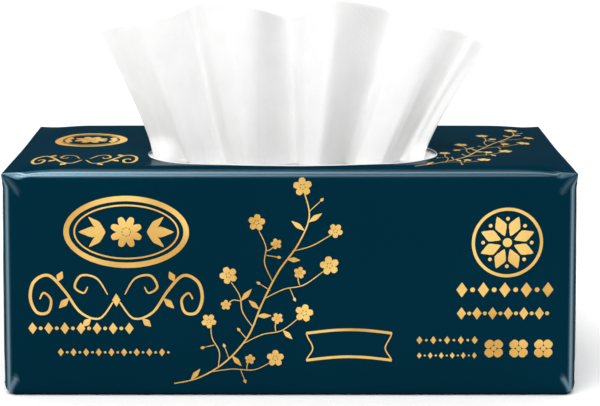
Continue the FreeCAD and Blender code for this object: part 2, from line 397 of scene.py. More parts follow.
def sloped_step(a, b, first, last, share):
    """A smooth step from a to b with the first slope at its start and the last at its end."""
    squared, cubed = share * share, share**3
    start = (2 * cubed - 3 * squared + 1) * a + (cubed - 2 * squared + share) * first
    return start + (3 * squared - 2 * cubed) * b + (cubed - squared) * last


def through(before, a, b, after, share):
    """A smooth step from a to b that carries on from the value before and leads to the value after."""
    return sloped_step(a, b, (b - before) / 2, (after - a) / 2, share)


def fold_step(before, a, b, after, share):
    """A smooth step from a to b that is level wherever the values turn back."""
    first = (b - before) / 2 if (a - before) * (b - a) > 0 else 0.0
    last = (after - a) / 2 if (b - a) * (after - b) > 0 else 0.0
    return sloped_step(a, b, first, last, share)


def smooth(low, high, value):
    """0 below low, 1 above high, and a soft step between."""
    share = min(max((value - low) / (high - low), 0.0), 1.0)
    return share * share * (3 - 2 * share)


def hump(value, middle, reach):
    """A soft hump: 1 at its middle, falling away over its reach."""
    return math.exp(-(((value - middle) / reach) ** 2))


def add_piece(name, bm, material, replaced=()):
    """Makes a mesh object of a bmesh and has it ride on the pack."""
    mesh = bpy.data.meshes.new(name)
    bm.to_mesh(mesh)
    bm.free()
    for polygon in mesh.polygons:
        polygon.use_smooth = True
    piece = bpy.data.objects.new(name, mesh)
    bpy.context.scene.collection.objects.link(piece)
    mesh.materials.append(material)
    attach(piece, "root")
    if replaced:
        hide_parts(*replaced)
    return piece


# The film


def film_half_length(z):
    """Half the length of the wrapper at a height: a little wider at the base."""
    film = settings().film
    return lerp(film.half_base, film.half_top, z / film.height)


def side_bulge(x, z):
    """How far the front or back stands out of its flat at a place."""
    film = settings().film
    across = max(1 - (x / film.half_top) ** 2, 0.0)
    up = max(1 - (2 * z / film.height - 1) ** 2, 0.0)
    ripple = noise.noise((x * 28, z * 40, 3.1)) * 0.00006
    return film.bulge * across**0.6 * up**0.6 + ripple * across * up


def end_bulge(y, z):
    """How far an end of the pack stands out of its flat at a place."""
    film = settings().film
    across = max(1 - (y / film.half_depth) ** 2, 0.0)
    up = max(1 - (2 * z / film.height - 1) ** 2, 0.0)
    ripple = noise.noise((y * 60, z * 60, 7.7)) * 0.0002
    return (film.bulge * 1.2 + ripple) * across**0.5 * up**0.5


def top_crown(x, y):
    """How far the crown of the top stands above its edges."""
    film = settings().film
    from_end, from_side = film.half_top - abs(x), film.half_depth - abs(y)
    return film.crown * smooth(0.0, 0.02, from_end) * smooth(0.0, 0.0085, from_side)


def top_relief(x, y):
    """How far the top film stands above or hangs below its edges: a low crown, slack waves and drooping
    corners."""
    film = settings().film
    from_end, from_side = film.half_top - abs(x), film.half_depth - abs(y)
    inside = smooth(0.0, 0.02, from_end) * smooth(0.0, 0.014, from_side)
    wave = noise.noise((x * 22, y * 30, 1.3)) * 0.00035
    fine = noise.noise((x * 70, y * 90, 5.2)) * 0.00008
    droop = film.droop * hump(math.hypot(from_end, from_side), 0, DROOP_REACH)
    return (wave + fine) * inside + top_crown(x, y) - droop


def outline_places():
    """Places round the pack in order: a side or a corner by number, and the share of the way along it.
    They start at the left of the front and run to the right."""
    places = []
    for side in range(4):
        count = LONG_SIDE_POINTS if side % 2 == 0 else SHORT_SIDE_POINTS
        for k in range(count):
            share = (k + 0.5) / count
            eased = lerp(share, (1 - math.cos(math.pi * share)) / 2, 0.55)
            places.append((side, False, eased))
        for k in range(CORNER_POINTS):
            places.append((side, True, (k + 0.5) / CORNER_POINTS))
    return places


PLACES = outline_places()


def outline_point(place, half_x, half_y, radius):
    """The point of a rounded rectangle at a place."""
    side, corner, share = place
    x, y = half_x - radius, half_y - radius
    if corner:
        centre = [(x, -y), (x, y), (-x, y), (-x, -y)][side]
        angle = math.radians(-90 + 90 * side + 90 * share)
        return centre[0] + radius * math.cos(angle), centre[1] + radius * math.sin(angle)
    if side == 0:
        return lerp(-x, x, share), -half_y
    if side == 1:
        return half_x, lerp(-y, y, share)
    if side == 2:
        return lerp(x, -x, share), half_y
    return -half_x, lerp(y, -y, share)


def top_round(place):
    """Rounding of the top edge at a place: full along the sides and pinched to a point at the corners."""
    film = settings().film
    side, corner, share = place
    if corner:
        return PINCHED_ROUND
    long_side = side % 2 == 0
    half = film.half_top if long_side else film.half_depth
    full = film.long_round if long_side else film.short_round
    away = (1 - abs(2 * share - 1)) * half
    reach = LONG_EDGE_OPENS if long_side else SHORT_EDGE_OPENS
    opened = 1 - math.exp(-((away / reach) ** 1.15))
    facet = FACET_ROUND * hump(away, FACET_FROM_CORNER, FACET_REACH) if long_side else 0.0
    return PINCHED_ROUND + (full - PINCHED_ROUND) * opened + facet


def wall_point(place, z, inset=0.0):
    """A point of the wrapper's side, moved in towards the middle by the inset."""
    film = settings().film
    pinch = 1 - PINCH_SHARE * smooth(film.height - PINCH_START, film.height - PINCH_END, z)
    radius = lerp(film.corner_low, film.corner_high, z / film.height) * pinch
    x, y = outline_point(
        place,
        film_half_length(z) - inset,
        film.half_depth - inset,
        max(radius - inset, 0.0004),
    )
    side, corner, _ = place
    if not corner and side % 2 == 0:
        y += math.copysign(side_bulge(x, z), y)
    elif not corner:
        x += math.copysign(end_bulge(y, z), x)
    return Vector((x, y, z))


def drooped(point, inset):
    """A point of the top edge, lowered near the corners."""
    film = settings().film
    away = math.hypot(film.half_top - abs(point.x) - inset, film.half_depth - abs(point.y) - inset)
    share = smooth(film.height - 0.012, film.height, point.z)
    point.z -= film.droop * hump(away, 0, DROOP_REACH) * share
    return point


def mouth_arcs():
    """Offsets of the mouth's arcs: the end arcs' centres along, the side arcs' centres across, and the
    angle at which the arcs meet."""
    mouth = settings().mouth
    along = mouth.half_length - mouth.end_radius
    turn = math.asin(along / (mouth.side_radius - mouth.end_radius))
    return along, (mouth.side_radius - mouth.end_radius) * math.cos(turn), turn


def mouth_reach(dx, dy):
    """From the middle of the mouth to its rim in a direction."""
    mouth = settings().mouth
    along, across, turn = mouth_arcs()
    side = mouth.side_radius
    reach = -across * abs(dy) + math.sqrt(side**2 - across**2 * (1 - dy * dy))
    if abs(reach * dx) <= side * math.sin(turn):
        return reach
    return along * abs(dx) + math.sqrt(mouth.end_radius**2 - along**2 * (1 - dx * dx))


def mouth_room(x):
    """Half the width of the mouth at a distance from its middle."""
    mouth = settings().mouth
    along, across, turn = mouth_arcs()
    if abs(x) > mouth.side_radius * math.sin(turn):
        return math.sqrt(max(mouth.end_radius**2 - (abs(x) - along) ** 2, 0.0))
    return math.sqrt(mouth.side_radius**2 - x * x) - across


def rim_point(point):
    """The point of the mouth's rim that lies towards a point of the top's edge. The torn film is a little
    uneven."""
    mouth = settings().mouth
    middle = Vector((mouth.right, -mouth.forward))
    way = (Vector(point[:2]) - middle).normalized()
    torn = noise.noise((way.x * 40, way.y * 40, 9.0)) * 0.00012
    return middle + way * (mouth_reach(way.x, way.y) + torn)


class RingBuilder:
    """Grows a closed skin ring by ring, by extruding the last ring's edges."""

    def __init__(self, points):
        self.bm = bmesh.new()
        made = bmesh.ops.create_circle(
            self.bm, cap_ends=True, radius=0.01, segments=len(points)
        )
        self.ring = made["verts"]
        self.place(points)

    def place(self, points):
        for vert, point in zip(self.ring, points):
            vert.co = point

    def ring_edges(self):
        edges = []
        for vert, after in zip(self.ring, self.ring[1:] + self.ring[:1]):
            edges.append(next(e for e in vert.link_edges if e.other_vert(vert) is after))
        return edges

    def grow(self, points):
        made = bmesh.ops.extrude_edge_only(self.bm, edges=self.ring_edges())
        fresh = {item for item in made["geom"] if isinstance(item, bmesh.types.BMVert)}
        grown = []
        for vert in self.ring:
            linked = (edge.other_vert(vert) for edge in vert.link_edges)
            grown.append(next(other for other in linked if other in fresh))
        self.ring = grown
        self.place(points)

    def close(self):
        bmesh.ops.contextual_create(self.bm, geom=self.ring_edges())
        bmesh.ops.recalc_face_normals(self.bm, faces=self.bm.faces[:])
        return self.bm


def top_points(share):
    """The ring of the top film at a share of the way from its rounded edge to the mouth's rim."""
    film = settings().film
    points = []
    for place in PLACES:
        edge = wall_point(place, film.height, top_round(place))
        rim = rim_point(edge)
        x, y = lerp(edge.x, rim.x, share), lerp(edge.y, rim.y, share)
        points.append(Vector((x, y, film.height + top_relief(x, y))))
    return points


def build_film():
    """The wrapper's skin: base, sides, rounded top edge and top face to the mouth, then the same way back
    on the inside."""
    film = settings().film
    flat = film.base_round
    builder = RingBuilder([wall_point(place, 0, flat) * MIDDLE_RING for place in PLACES])
    for k in range(BASE_RINGS + 1):
        turn = math.pi / 2 * k / BASE_RINGS
        inset, z = flat * (1 - math.sin(turn)), flat * (1 - math.cos(turn))
        builder.grow([wall_point(place, z, inset) for place in PLACES])
    for k in range(1, WALL_RINGS + 1):
        share = lerp(k / WALL_RINGS, (1 - math.cos(math.pi * k / WALL_RINGS)) / 2, 0.6)
        ring = []
        for place in PLACES:
            highest = film.height - top_round(place)
            ring.append(drooped(wall_point(place, lerp(flat, highest, share)), 0))
        builder.grow(ring)
    for k in range(1, EDGE_RINGS + 1):
        turn = math.pi / 2 * k / EDGE_RINGS
        ring = []
        for place in PLACES:
            rounding = top_round(place)
            z = film.height - rounding * (1 - math.sin(turn))
            point = drooped(wall_point(place, z, rounding * (1 - math.cos(turn))), 0)
            point.z += top_crown(point.x, point.y) * (1 - math.cos(turn))
            ring.append(point)
        builder.grow(ring)
    for k in range(1, TOP_RINGS + 1):
        builder.grow(top_points(k / TOP_RINGS))
    outside = set(builder.bm.faces)
    middle = Vector((settings().mouth.right, -settings().mouth.forward))
    lip = []
    for point in top_points(1):
        way = (middle - point.xy).normalized().to_3d() * LIP_REACH
        lip.append(point + way + Vector((0, 0, LIP_RISE)))
    builder.grow(lip)
    wall = Vector((0, 0, -film.wall))
    for k in range(TOP_RINGS, -1, -1):
        builder.grow([point + wall for point in top_points(k / TOP_RINGS)])
    for z, inset in ((film.height - 0.004, 0.0004), (film.wall * 4, 0.004)):
        builder.grow([wall_point(place, z, inset) for place in PLACES])
    bm = builder.close()
    for face in bm.faces:
        face.material_index = 0 if face in outside else 1
    paint_highlight_gloss(bm)
    return bm


def near_line(x, z, start, end):
    """Distance of a place on the front from the line between two places."""
    start, way = Vector(start), Vector(end) - Vector(start)
    point = Vector((x, z)) - start
    share = min(max(point.dot(way) / way.length_squared, 0.0), 1.0)
    return (point - way * share).length


# Painted highlight streaks by the corners of the front and back, where the film has no crease of its own:
# start, end, strength and half width.
CREASE_HIGHLIGHTS = [
    ((0.1026, 0.0016), (0.0996, 0.0068), 0.8, 0.0008),
    ((0.1012, 0.0815), (0.0972, 0.0762), 0.25, 0.0009),
]


def painted_crease_highlight(point):
    """How strongly the painted highlight streaks by the corners shine at a point."""
    x, z = abs(point.x), point.z
    shines = []
    for start, end, strength, width in CREASE_HIGHLIGHTS:
        shines.append(strength * hump(near_line(x, z, start, end), 0, width))
    return max(shines)


def paint_highlight_gloss(bm):
    """Paints highlights as gloss: matt on the flats, glossy in narrow bands along the rounded edges at the
    angles where the lamps' highlights are to show, and in streaks by the corners. In degrees, a rise of 90
    faces straight up, and a turn of 90 faces an end of the pack."""
    layer = bm.verts.layers.float.new("painted_gloss")
    bm.normal_update()
    for vert in bm.verts:
        normal = vert.normal
        # Painted highlight: the gloss along the long top edges is strongest at the left end and falls away
        # to the right.
        left_end_highlight = 0.26 + 0.74 * math.exp(-(vert.co.x + FILM_HIGH[0]) / 0.06)
        rise = math.degrees(math.asin(min(max(normal.z, -1), 1)))
        turn = math.degrees(math.atan2(abs(normal.x), abs(normal.y)))
        to_end = smooth(30, 60, turn)
        corner = smooth(FILM_HIGH[1] - 0.008, FILM_HIGH[1] - 0.004, abs(vert.co.y))
        # Painted highlights: narrow gloss bands on the upright edges and along the top edges, at the
        # angles where the lamps are to show in them.
        upright = hump(turn, 36, 8) * hump(rise, 0, 30)
        upright += 0.3 * corner * smooth(74, 87, turn) * hump(rise, 0, 25)
        long_edge = left_end_highlight * hump(rise, 49, 14) * (1 - to_end)
        short_edge = 0.16 * hump(rise, 40, 16) * to_end
        # Painted highlight streaks on the front and back, near the corners.
        crease_highlight = painted_crease_highlight(vert.co) if normal.y**2 > 0.3 else 0.0
        highlight_share = max(upright, long_edge, short_edge, crease_highlight)
        flat_top = 0.004 * smooth(0.992, 1.0, normal.z)
        vert[layer] = min(max((highlight_share - 0.03) / 0.97, flat_top), 1.0)


def build_flap(end, wide_z, tip_z, lift):
    """One folded end flap: a trapezoid of film that lies on the end of the pack, its slanting edges
    running in at 45 degrees."""
    film = settings().film
    wide = film.half_depth - film.corner_low
    tip = wide - abs(tip_z - wide_z)
    bm = bmesh.new()
    bmesh.ops.create_grid(bm, x_segments=44, y_segments=26, size=0.5)
    for vert in bm.verts:
        across, up = vert.co.x * 2, vert.co.y + 0.5
        y = across * lerp(wide, tip, up)
        z = lerp(wide_z, tip_z, up)
        puff = noise.noise((y * 45, z * 45, 2.0 + end)) * 0.0002 + 0.0002
        loose = smooth(0.0, 0.3, 1 - abs(across)) * smooth(0.0, 0.25, 1 - up) * smooth(0, 0.2, up)
        x = film_half_length(z) + end_bulge(y, z) + lift + puff * loose
        vert.co = Vector((end * x, y, z))
    bmesh.ops.recalc_face_normals(bm, faces=bm.faces[:])
    if sum(face.normal.x for face in bm.faces) * end < 0:
        bmesh.ops.reverse_faces(bm, faces=bm.faces[:])
    bmesh.ops.solidify(bm, geom=bm.faces[:], thickness=film.wall * 0.6)
    return bm


def join_meshes(parts):
    """One bmesh of several."""
    whole = bmesh.new()
    for part in parts:
        mesh = bpy.data.meshes.new("part")
        part.to_mesh(mesh)
        part.free()
        whole.from_mesh(mesh)
        bpy.data.meshes.remove(mesh)
    return whole


def build_seam():
    """The lengthwise seam under the base: the film's free edge, lapped over and sealed flat."""
    film = settings().film
    length = 2 * (film.half_base - film.base_round)
    bm = bmesh.new()
    bmesh.ops.create_cube(bm, size=1)
    bmesh.ops.scale(bm, vec=(length, SEAM_WIDTH, film.wall), verts=bm.verts[:])
    bmesh.ops.translate(bm, vec=(0, SEAM_WIDTH, 0), verts=bm.verts[:])
    return bm


# The print


def front_point(u, v):
    """A point of the print on the front, in millimetres to the right and up."""
    x, z = u * MM, v * MM
    film = settings().film
    return Vector((x, -film.half_depth - side_bulge(x, z) - INK_LIFT, z))


def top_point(u, v):
    """A point of the print on the top, in millimetres to the right and to the back."""
    x, y = u * MM, v * MM
    return Vector((x, y, settings().film.height + top_relief(x, y) + INK_LIFT))


def spline(points, steps=10):
    """Points along a smooth line through some points."""
    line = []
    for k in range(len(points) - 1):
        near = [Vector(points[min(max(k + j, 0), len(points) - 1)]) for j in (-1, 0, 1, 2)]
        line += [through(*near, j / steps) for j in range(steps)]
    line.append(Vector(points[-1]))
    return line


def draw_stroke(bm, points, width, taper=1.0, steps=10):
    """A stroke of ink along a smooth line, thickest in its middle by the taper."""
    line = spline(points, steps)
    last = len(line) - 1
    pair = None
    for k, point in enumerate(line):
        way = (line[min(k + 1, last)] - line[max(k - 1, 0)]).normalized()
        swell = lerp(1.0, math.sin(math.pi * lerp(0.06, 0.94, k / last)), taper)
        side = Vector((-way.y, way.x)) * (width / 2 * swell)
        ends = [point + side, point - side]
        if pair is None:
            pair = [bm.verts.new((end.x, end.y, 0)) for end in ends]
            edge = bm.edges.new(pair)
            continue
        made = bmesh.ops.extrude_edge_only(bm, edges=[edge])["geom"]
        edge = next(item for item in made if isinstance(item, bmesh.types.BMEdge))
        fresh = {item for item in made if isinstance(item, bmesh.types.BMVert)}
        pair = [
            next(e.other_vert(v) for e in v.link_edges if e.other_vert(v) in fresh) for v in pair
        ]
        for vert, end in zip(pair, ends):
            vert.co = (end.x, end.y, 0)


def draw_disc(bm, centre, half_width, half_height=None, segments=28, turn=0.0, shape=None):
    """A filled oval. The shape, if given, scales its radius by the angle."""
    made = bmesh.ops.create_circle(bm, cap_ends=True, cap_tris=True, radius=1, segments=segments)
    half_height = half_height or half_width
    for vert in made["verts"]:
        angle = math.atan2(vert.co.y, vert.co.x)
        scale = shape(angle) if shape and vert.co.length > 0.5 else 1.0
        point = Vector((vert.co.x * half_width, vert.co.y * half_height)) * scale
        point.rotate(Matrix.Rotation(turn, 2))
        vert.co = (centre[0] + point.x, centre[1] + point.y, 0)


def draw_ring(bm, centre, half_width, half_height, band, segments=64):
    """An oval band of ink."""
    made = bmesh.ops.create_circle(bm, cap_ends=False, radius=1, segments=segments)
    edges = [edge for edge in bm.edges if edge.verts[0] in made["verts"]]
    edges = [edge for edge in edges if edge.verts[1] in made["verts"]]
    for vert in made["verts"]:
        vert.co = (vert.co.x * half_width, vert.co.y * half_height, 0)
    grown = bmesh.ops.extrude_edge_only(bm, edges=edges)["geom"]
    inner = [item for item in grown if isinstance(item, bmesh.types.BMVert)]
    for vert in inner:
        vert.co.x *= (half_width - band) / half_width
        vert.co.y *= (half_height - band) / half_height
    bmesh.ops.translate(bm, verts=made["verts"] + inner, vec=(centre[0], centre[1], 0))


def draw_leaf(bm, foot, tip, width):
    """A pointed leaf from foot to tip."""
    foot, tip = Vector(foot), Vector(tip)
    way = tip - foot
    middle = (foot + tip) / 2

    def pointed(angle):
        return 1.0 - 0.25 * abs(math.sin(2 * angle)) ** 1.2

    draw_disc(bm, middle, way.length / 2, width / 2, 16, math.atan2(way.y, way.x), pointed)


def draw_blossom(bm, centre, radius, turn=0.0, petals=5):
    """A round-petalled blossom with a small eye."""
    centre = Vector(centre)
    for k in range(petals):
        angle = turn + 2 * math.pi * k / petals
        way = Vector((math.cos(angle), math.sin(angle)))

        def petal(a):
            notch = 0.14 * math.exp(-((a / 0.35) ** 2))
            return 1.0 - notch - 0.18 * smooth(1.8, 3.1, abs(a))

        width = radius * math.pi / petals * 0.56
        draw_disc(bm, centre + way * radius * 0.58, radius * 0.42, width, 18, angle, petal)
    draw_disc(bm, centre, radius * 0.24, segments=10)


def draw_bud(bm, foot, tip, size):
    """A small bud on a short stalk."""
    draw_stroke(bm, [foot, tip], 0.28, 0.2, 4)
    way = (Vector(tip) - Vector(foot)).normalized() * size
    draw_leaf(bm, tip, Vector(tip) + way, size * 0.62)


def draw_beads(bm, left, right, level, tall, pitch):
    """A row of lozenges with small beads between them."""
    count = max(int((right - left) / pitch), 1)
    for k in range(count + 1):
        x = lerp(left, right, k / count)
        if k % 2 == 0:
            draw_disc(bm, (x, level), tall * 0.36, tall / 2, 4)
        else:
            draw_disc(bm, (x, level), tall * 0.16, segments=10)


# The scroll flourish as shares of its reach and height: its long sweep, its small curl, and its leaves
# with their foot and their way to the tip.
SCROLL_SWEEP = [
    (0.04, -0.1), (0.2, -0.42), (0.42, -0.3), (0.6, 0.12), (0.78, 0.42), (0.95, 0.3),
    (1.0, -0.02), (0.93, -0.3), (0.8, -0.3), (0.76, -0.06), (0.84, 0.08), (0.89, -0.04),
]
SCROLL_CURL = [(0.1, 0.05), (0.22, 0.36), (0.4, 0.42), (0.48, 0.2), (0.38, 0.08), (0.33, 0.2)]
SCROLL_LEAVES = [(0.55, -0.02, 0.12, -0.2), (0.3, -0.42, 0.1, -0.16), (0.68, 0.3, -0.06, 0.2)]


def draw_scroll(bm, middle, reach, tall, width, mirror):
    """Half of a scroll flourish: a long sweep that curls in on itself at its far end."""
    cx, cy = middle
    for line, share, taper in ((SCROLL_SWEEP, 1.0, 0.65), (SCROLL_CURL, 0.75, 0.7)):
        points = [(cx + mirror * x * reach, cy + y * tall) for x, y in line]
        draw_stroke(bm, points, width * share, taper)
    for x, y, dx, dy in SCROLL_LEAVES:
        foot = (cx + mirror * x * reach, cy + y * tall)
        tip = (foot[0] + mirror * dx * reach, foot[1] + dy * tall)
        draw_leaf(bm, foot, tip, width * 2.2)


def draw_medallion(bm, middle, half_width, half_height):
    """An oval medallion: a broad band round a rosette between two small leaves."""
    cx, cy = middle
    draw_ring(bm, middle, half_width, half_height, half_height * 0.15)
    draw_ring(bm, middle, half_width * 0.84, half_height * 0.76, half_height * 0.045)
    draw_blossom(bm, middle, half_height * 0.46, 0.3927, 8)
    for mirror in (-1, 1):
        foot = (cx + mirror * half_height * 0.56, cy)
        tip = (cx + mirror * half_width * 0.76, cy)
        draw_leaf(bm, foot, tip, half_height * 0.3)
        for lean in (-1, 1):
            tip = (cx + mirror * half_width * 0.6, cy + lean * half_height * 0.42)
            draw_leaf(bm, foot, tip, half_height * 0.2)


def draw_ribbon(bm, left, right, low, high):
    """A plain ribbon banner: a frame of ink with swallow-tailed ends."""
    rise = (high - low) * 0.12
    band = (high - low) * 0.09
    for level in (high, low + band):
        points = [(lerp(left, right, k / 6), level + rise * math.sin(math.pi * k / 6)) for k in range(7)]
        draw_stroke(bm, points, band, 0.0, 4)
    for mirror, x in ((-1, left), (1, right)):
        notch = x - mirror * 2.4
        points = [(x, high), (x - mirror * 0.6, high - 1.6), (notch, (low + high) / 2)]
        draw_stroke(bm, points + [(x - mirror * 0.6, low + 2.2), (x, low + band)], 0.45, 0.0, 4)


def draw_rosette(bm, middle, radius):
    """A closed ring round an eight-petalled rosette."""
    draw_ring(bm, middle, radius, radius, radius * 0.09)
    for k in range(8):
        angle = math.pi / 4 * k + math.pi / 8
        way = Vector((math.cos(angle), math.sin(angle)))
        foot, tip = Vector(middle) + way * radius * 0.2, Vector(middle) + way * radius * 0.8
        draw_leaf(bm, foot, tip, radius * 0.34)
        side = Vector((math.cos(angle + math.pi / 8), math.sin(angle + math.pi / 8)))
        draw_disc(bm, Vector(middle) + side * radius * 0.68, radius * 0.055, segments=10)
    draw_disc(bm, middle, radius * 0.13, segments=16)


# The sprig: its stem, then twigs, blossoms, leaves and buds, in millimetres from its foot.
STEM = [(0, 0), (9, 2.2), (19, 8.5), (27, 18), (32, 30), (38, 42), (45, 52), (49, 62), (47.2, 71)]
TWIGS = [
    [(13, 4.4), (21, 5.5), (29, 5.2), (35, 8)],
    [(16, 6.2), (16.5, 12), (14, 17), (13.5, 21)],
    [(25, 15), (32, 18.5), (39, 20), (45, 24.5)],
    [(28.5, 21.5), (25, 27), (24, 33), (21, 38)],
    [(33, 32), (40, 35.5), (47, 37), (54, 42)],
    [(36, 38), (33, 45), (33.5, 51), (31, 57)],
    [(43, 49.5), (50, 51.5), (57, 55.6)],
    [(26.4, 5.3), (26.6, 7.2), (27.6, 9.2)],
    [(37.0, 19.6), (36.8, 22), (37.6, 24.6)],
    [(24.4, 31.0), (21.6, 31.4), (19.0, 29.6)],
    [(45.6, 36.9), (45.0, 39.2), (45.6, 41.6)],
    [(33.5, 49.6), (35.2, 50.2), (37.2, 52.2)],
]
BLOSSOMS = [
    (36.8, 9.6, 4.3, 0.3),
    (12.8, 23.6, 3.7, 1.0),
    (47.2, 26.6, 4.5, 0.1),
    (20.0, 40.6, 4.4, 0.7),
    (56.3, 44.2, 4.7, 0.5),
    (30.2, 60.0, 4.2, 0.2),
    (58.4, 57.0, 3.6, 0.9),
    (46.6, 73.0, 4.6, 0.4),
    (27.6, 9.2, 2.6, 0.2),
    (37.6, 24.6, 2.9, 0.8),
    (19.0, 29.6, 2.6, 0.3),
    (45.6, 41.6, 3.0, 0.1),
    (37.2, 52.2, 2.7, 0.6),
]
LEAVES = [
    (6, 1.3, 9.5, 5.6),
    (21, 10.6, 24.5, 6.6),
    (30, 25.5, 35.4, 25.6),
    (31, 28, 27.2, 31.4),
    (41, 46.5, 45.8, 46.2),
    (47.4, 57, 42.6, 60.6),
    (48.6, 60, 53.6, 63.4),
    (39.5, 20.2, 43, 16.8),
    (24.3, 31, 28.4, 35.6),
]
BUDS = [
    (20, 9.4, 18.6, 13.4),
    (24, 5.6, 25.4, 1.8),
    (26.5, 16.8, 24.2, 19.6),
    (35, 35, 31.6, 37.2),
    (42, 36, 43.4, 32.6),
    (49, 64, 52.8, 67.6),
    (33.6, 48, 37.2, 47.4),
    (14.8, 14.6, 11.4, 13.8),
]


def draw_sprig(bm, place, size=1.0):
    """A sprig of blossom. place takes a point of the sprig to a point of the print."""
    draw_stroke(bm, [place(*point) for point in STEM], 0.62 * size, 0.45)
    for twig in TWIGS:
        draw_stroke(bm, [place(*point) for point in twig], 0.36 * size, 0.3, 6)
    for x, y, radius, turn in BLOSSOMS:
        draw_blossom(bm, place(x, y), 0.76 * radius * size, turn)
    for x, y, tip_x, tip_y in LEAVES:
        draw_leaf(bm, place(x, y), place(tip_x, tip_y), 1.9 * size)
    for x, y, tip_x, tip_y in BUDS:
        draw_bud(bm, place(x, y), place(tip_x, tip_y), 1.9 * size)


def lay_print(bm, point_of):
    """Lays flat ink on the film: every point goes to its place on the film's surface."""
    bmesh.ops.recalc_face_normals(bm, faces=bm.faces[:])
    for face in bm.faces:
        if face.normal.z < 0:
            face.normal_flip()
    for vert in bm.verts:
        vert.co = point_of(vert.co.x, vert.co.y)
    return bm


def build_front_print():
    """The gold print on the front: ornaments on the left and right of a sprig of blossom."""
    bm = bmesh.new()
    draw_medallion(bm, (-58.5, 61.5), 22.5, 13.2)
    for mirror in (-1, 1):
        draw_scroll(bm, (-62.5, 37.5), 31, 19, 1.15, mirror)
    draw_disc(bm, (-62.5, 36.4), 1.5, 2.5, 4)
    draw_beads(bm, -93, -58, 25.8, 4.4, 2.9)
    draw_beads(bm, -83, -44, 16.8, 3.0, 2.2)
    draw_sprig(bm, lambda x, y: (x - 42, y + 5))
    draw_ribbon(bm, 6, 37, 12.8, 24.0)
    draw_rosette(bm, (78, 57.6), 12.8)
    draw_beads(bm, 62, 93, 40.2, 5.6, 3.45)
    draw_beads(bm, 62, 93, 31.4, 4.6, 2.8)
    for x in (74, 83, 92):
        draw_blossom(bm, (x, 18.2), 4.0, math.pi / 4, 4)
    draw_beads(bm, 47, 67, 21.4, 3.0, 2.5)
    draw_beads(bm, 47, 67, 15.6, 2.4, 2.0)
    return lay_print(bm, front_point)


def build_top_print():
    """The gold print on the top: a small medallion and scroll at the left, a sprig at the right."""
    bm = bmesh.new()
    draw_medallion(bm, (-77, 9), 14, 15)
    for mirror in (-1, 1):
        draw_scroll(bm, (-75, -33), 19, 20, 1.1, mirror)

    def leaning(x, y):
        return 45 + x * 0.66 + y * 0.18, -46 + y * 1.05 + x * 0.06

    draw_sprig(bm, leaning, 0.8)
    return lay_print(bm, top_point)


# The tissues


def fold_line(column):
    """The fold values at a column of the drawn tissue, on a smooth line through the folds."""
    index = min(int(column), len(FOLDS) - 2)
    share = column - index
    near = [FOLDS[min(max(index + j, 0), len(FOLDS) - 1)] for j in (-1, 0, 1, 2)]
    values = [fold_step(*four, share) for four in zip(*near)]
    values[0] = lerp(near[1][0], near[2][0], share)
    return values


def wrinkle(column, share):
    """Small soft wrinkles of the drawn tissue that run along its folds, and fan out of the mouth."""
    long_wave = noise.noise((column * 0.8, share * 0.7, 4.0)) * 0.0008
    gather = noise.noise((column * 1.9, share * 0.9, 8.0)) * 0.0009 * (1 - share) ** 1.5
    return long_wave + gather


def standing_point(column, share):
    """A point of the drawn tissue between its foot on the stack and its free edge. At the mouth's ends
    its foot spreads out under the film."""
    mouth = settings().mouth
    place, depth, free_x, free_y, free_z = fold_line(column)
    foot_x = place * MM - mouth.right
    room = mouth_room(foot_x)
    outward = abs(foot_x) / mouth.half_length
    sweep = lerp(0.85, 1.3, smooth(0.45, 0.9, outward))
    x = lerp(mouth.right + foot_x, free_x * MM, share**sweep)
    y = lerp(depth * room, free_y * MM, share) - mouth.forward
    y += wrinkle(column, share) * (0.35 + 0.65 * share)
    z = lerp(STACK_HIGH[2] + FOOT_LIFT, free_z * MM, share)
    end = smooth(0.72, 0.9, outward)
    lifted = smooth(0.55, 0.78, outward)
    low = 1 - smooth(0.0, 0.05, share)
    reach = mouth.half_length + 0.0035 - abs(foot_x)
    x += math.copysign(reach * end * low, foot_x)
    front = 0.0028 - room - mouth.forward
    y = lerp(y, front, end * (1 - smooth(0.0, 0.24, share)))
    z = lerp(z, max(z, FILM_HIGH[2] - FOOT_UNDER_FILM), lifted * low)
    return Vector((x, y, z))


def tail_point(column, distance):
    """A point of the part that lies in the pack: back over the stack, then folded under itself."""
    mouth = settings().mouth
    foot = standing_point(column, 0.0)
    across = lerp(-1, 1, column / (len(FOLDS) - 1)) * (mouth.sheet / 2 - 0.0012)
    share = min(distance / LYING_LENGTH, 1.0)
    x = lerp(foot.x, across, smooth(0.0, 1.0, share))
    back = LYING_LENGTH - mouth.forward
    if distance > LYING_LENGTH:
        under = distance - LYING_LENGTH
        return Vector((x, back - under, STACK_HIGH[2] + 0.00016))
    top = STACK_HIGH[2] + 0.00045
    y = lerp(foot.y, back, share)
    end = smooth(0.6, 0.85, abs(foot.x - mouth.right) / mouth.half_length)
    fall = smooth(0.42 * end, lerp(0.5, 0.9, end), share)
    z = lerp(foot.z, top, fall) + 0.0002 * math.sin(math.pi * share)
    return Vector((x, y, max(z, top)))


